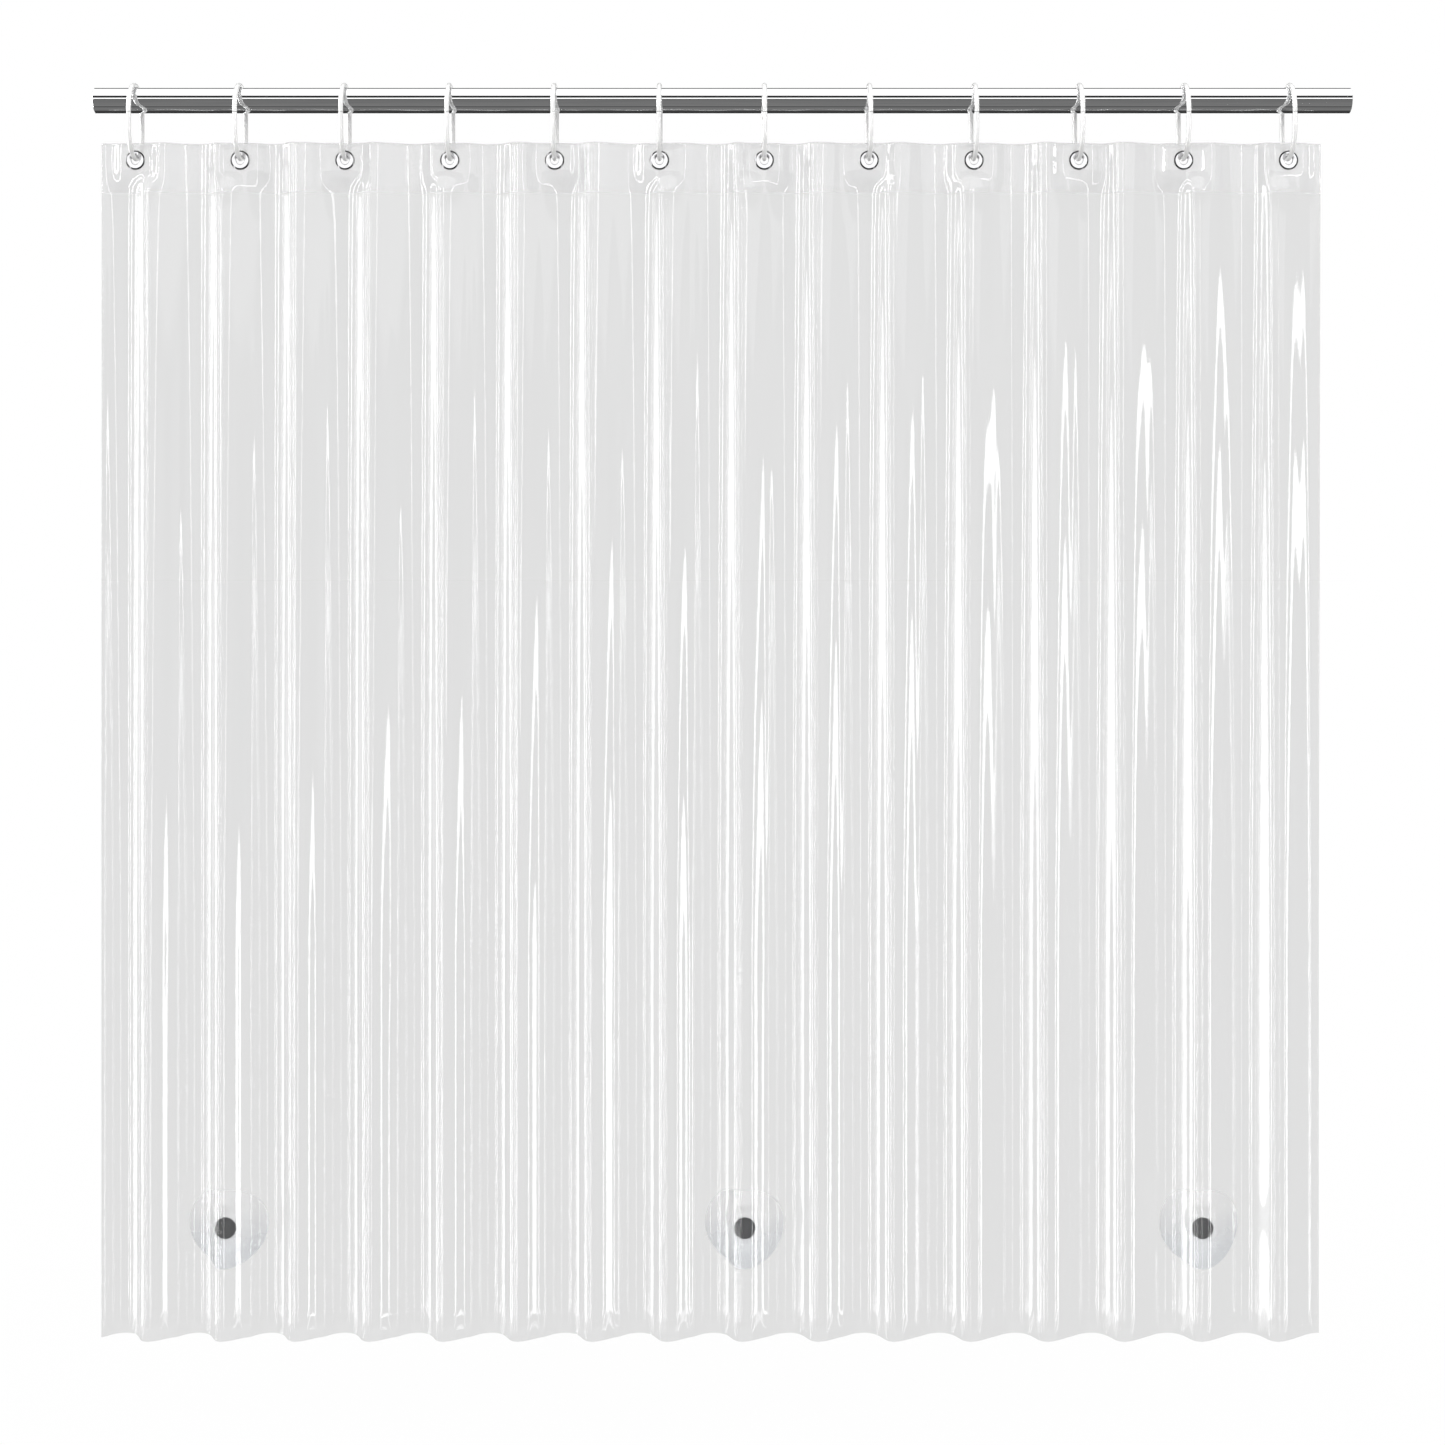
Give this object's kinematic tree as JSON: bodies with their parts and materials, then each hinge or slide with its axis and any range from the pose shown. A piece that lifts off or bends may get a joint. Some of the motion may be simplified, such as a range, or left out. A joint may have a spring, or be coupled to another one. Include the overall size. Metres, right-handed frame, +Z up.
{
  "type": "shower curtain",
  "caption": "Pleated clear film shower curtain with welded header, metal eyelets, hem magnets and plastic C rings, hung on a chrome rod along which it draws to one side.",
  "frame": {"origin": "on the rod's axis, half-way along the rod", "axes": "+X along the rod towards the leading edge of the curtain, +Z up, -Y towards the room, in front of the curtain"},
  "size_m": [1.89, 0.09, 1.8898],
  "materials": {
    "chrome_tube": "polished",
    "clear_film": "gloss",
    "header_film": "gloss",
    "pocket_film": "gloss",
    "white_plastic": "gloss",
    "eyelet_metal": "polished",
    "washer_metal": "satin",
    "ferrite": "satin"
  },
  "bodies": {
    "rod": {"rod": "chrome_tube"},
    "curtain": {"curtain_sheet": "clear_film", "header_band": "header_film", "hanger_ring_01": "white_plastic", "grommet_eyelet_01": "eyelet_metal", "grommet_washer_01": "washer_metal"},
    "hanger_02": {"hanger_ring_02": "white_plastic", "grommet_eyelet_02": "eyelet_metal", "grommet_washer_02": "washer_metal"},
    "hanger_03": {"hanger_ring_03": "white_plastic", "grommet_eyelet_03": "eyelet_metal", "grommet_washer_03": "washer_metal"},
    "hanger_04": {"hanger_ring_04": "white_plastic", "grommet_eyelet_04": "eyelet_metal", "grommet_washer_04": "washer_metal"},
    "hanger_05": {"hanger_ring_05": "white_plastic", "grommet_eyelet_05": "eyelet_metal", "grommet_washer_05": "washer_metal"},
    "hanger_06": {"hanger_ring_06": "white_plastic", "grommet_eyelet_06": "eyelet_metal", "grommet_washer_06": "washer_metal"},
    "hanger_07": {"hanger_ring_07": "white_plastic", "grommet_eyelet_07": "eyelet_metal", "grommet_washer_07": "washer_metal"},
    "hanger_08": {"hanger_ring_08": "white_plastic", "grommet_eyelet_08": "eyelet_metal", "grommet_washer_08": "washer_metal"},
    "hanger_09": {"hanger_ring_09": "white_plastic", "grommet_eyelet_09": "eyelet_metal", "grommet_washer_09": "washer_metal"},
    "hanger_10": {"hanger_ring_10": "white_plastic", "grommet_eyelet_10": "eyelet_metal", "grommet_washer_10": "washer_metal"},
    "hanger_11": {"hanger_ring_11": "white_plastic", "grommet_eyelet_11": "eyelet_metal", "grommet_washer_11": "washer_metal"},
    "hanger_12": {"hanger_ring_12": "white_plastic", "grommet_eyelet_12": "eyelet_metal", "grommet_washer_12": "washer_metal"},
    "pocket_left": {"magnet_pocket_left": "pocket_film"},
    "magnet_left": {"hem_magnet_left": "ferrite"},
    "pocket_middle": {"magnet_pocket_middle": "pocket_film"},
    "magnet_middle": {"hem_magnet_middle": "ferrite"},
    "pocket_right": {"magnet_pocket_right": "pocket_film"},
    "magnet_right": {"hem_magnet_right": "ferrite"}
  },
  "joints": [
    {"name": "curtain_swing", "type": "hinge", "parent": "rod", "child": "curtain", "pos_m": [0, 0, 0], "axis": [1, 0, 0], "range_deg": [-20, 20]},
    {"name": "draw_curtain", "type": "slide", "parent": "curtain", "child": "hanger_12", "axis": [-1, 0, 0], "range_m": [0, 1.3904], "deforming": ["curtain_sheet", "header_band", "magnet_pocket_left", "magnet_pocket_middle", "magnet_pocket_right"]},
    {"name": "hanger_02_slide", "type": "slide", "parent": "curtain", "child": "hanger_02", "axis": [-1, 0, 0], "range_m": [0, 0.1274]},
    {"name": "hanger_03_slide", "type": "slide", "parent": "curtain", "child": "hanger_03", "axis": [-1, 0, 0], "range_m": [0, 0.2538]},
    {"name": "hanger_04_slide", "type": "slide", "parent": "curtain", "child": "hanger_04", "axis": [-1, 0, 0], "range_m": [0, 0.3802]},
    {"name": "hanger_05_slide", "type": "slide", "parent": "curtain", "child": "hanger_05", "axis": [-1, 0, 0], "range_m": [0, 0.5066]},
    {"name": "hanger_06_slide", "type": "slide", "parent": "curtain", "child": "hanger_06", "axis": [-1, 0, 0], "range_m": [0, 0.633]},
    {"name": "hanger_07_slide", "type": "slide", "parent": "curtain", "child": "hanger_07", "axis": [-1, 0, 0], "range_m": [0, 0.7594]},
    {"name": "hanger_08_slide", "type": "slide", "parent": "curtain", "child": "hanger_08", "axis": [-1, 0, 0], "range_m": [0, 0.8858]},
    {"name": "hanger_09_slide", "type": "slide", "parent": "curtain", "child": "hanger_09", "axis": [-1, 0, 0], "range_m": [0, 1.0122]},
    {"name": "hanger_10_slide", "type": "slide", "parent": "curtain", "child": "hanger_10", "axis": [-1, 0, 0], "range_m": [0, 1.1386]},
    {"name": "hanger_11_slide", "type": "slide", "parent": "curtain", "child": "hanger_11", "axis": [-1, 0, 0], "range_m": [0, 1.265]},
    {"name": "pocket_left_slide", "type": "slide", "parent": "curtain", "child": "pocket_left", "axis": [-1, 0, 0], "range_m": [0, 0.1255]},
    {"name": "magnet_left_turn", "type": "hinge", "parent": "pocket_left", "child": "magnet_left", "pos_m": [-0.73151, -0.00959, -1.69645], "axis": [0, 0, -1], "range_deg": [0, 91]},
    {"name": "pocket_middle_slide", "type": "slide", "parent": "curtain", "child": "pocket_middle", "axis": [-1, 0, 0], "range_m": [0, 0.7503]},
    {"name": "magnet_middle_turn", "type": "hinge", "parent": "pocket_middle", "child": "magnet_middle", "pos_m": [0.04955, -0.00996, -1.69645], "axis": [0, 0, -1], "range_deg": [0, 91]},
    {"name": "pocket_right_slide", "type": "slide", "parent": "curtain", "child": "pocket_right", "axis": [-1, 0, 0], "range_m": [0, 1.3007]},
    {"name": "magnet_right_turn", "type": "hinge", "parent": "pocket_right", "child": "magnet_right", "pos_m": [0.73745, -0.01024, -1.69645], "axis": [0, 0, -1], "range_deg": [0, 91]}
  ],
  "couplings": [
    {"joint": "hanger_02_slide", "follows": "draw_curtain", "ratio": 0.090909},
    {"joint": "hanger_03_slide", "follows": "draw_curtain", "ratio": 0.18182},
    {"joint": "hanger_04_slide", "follows": "draw_curtain", "ratio": 0.27273},
    {"joint": "hanger_05_slide", "follows": "draw_curtain", "ratio": 0.36364},
    {"joint": "hanger_06_slide", "follows": "draw_curtain", "ratio": 0.45455},
    {"joint": "hanger_07_slide", "follows": "draw_curtain", "ratio": 0.54545},
    {"joint": "hanger_08_slide", "follows": "draw_curtain", "ratio": 0.63636},
    {"joint": "hanger_09_slide", "follows": "draw_curtain", "ratio": 0.72727},
    {"joint": "hanger_10_slide", "follows": "draw_curtain", "ratio": 0.81818},
    {"joint": "hanger_11_slide", "follows": "draw_curtain", "ratio": 0.90909},
    {"joint": "pocket_left_slide", "follows": "draw_curtain", "ratio": 0.089537},
    {"joint": "magnet_left_turn", "follows": "draw_curtain", "rad_per_m": 1.1297},
    {"joint": "pocket_middle_slide", "follows": "draw_curtain", "ratio": 0.53894},
    {"joint": "magnet_middle_turn", "follows": "draw_curtain", "rad_per_m": 1.1297},
    {"joint": "pocket_right_slide", "follows": "draw_curtain", "ratio": 0.93474},
    {"joint": "magnet_right_turn", "follows": "draw_curtain", "rad_per_m": 1.1297}
  ]
}
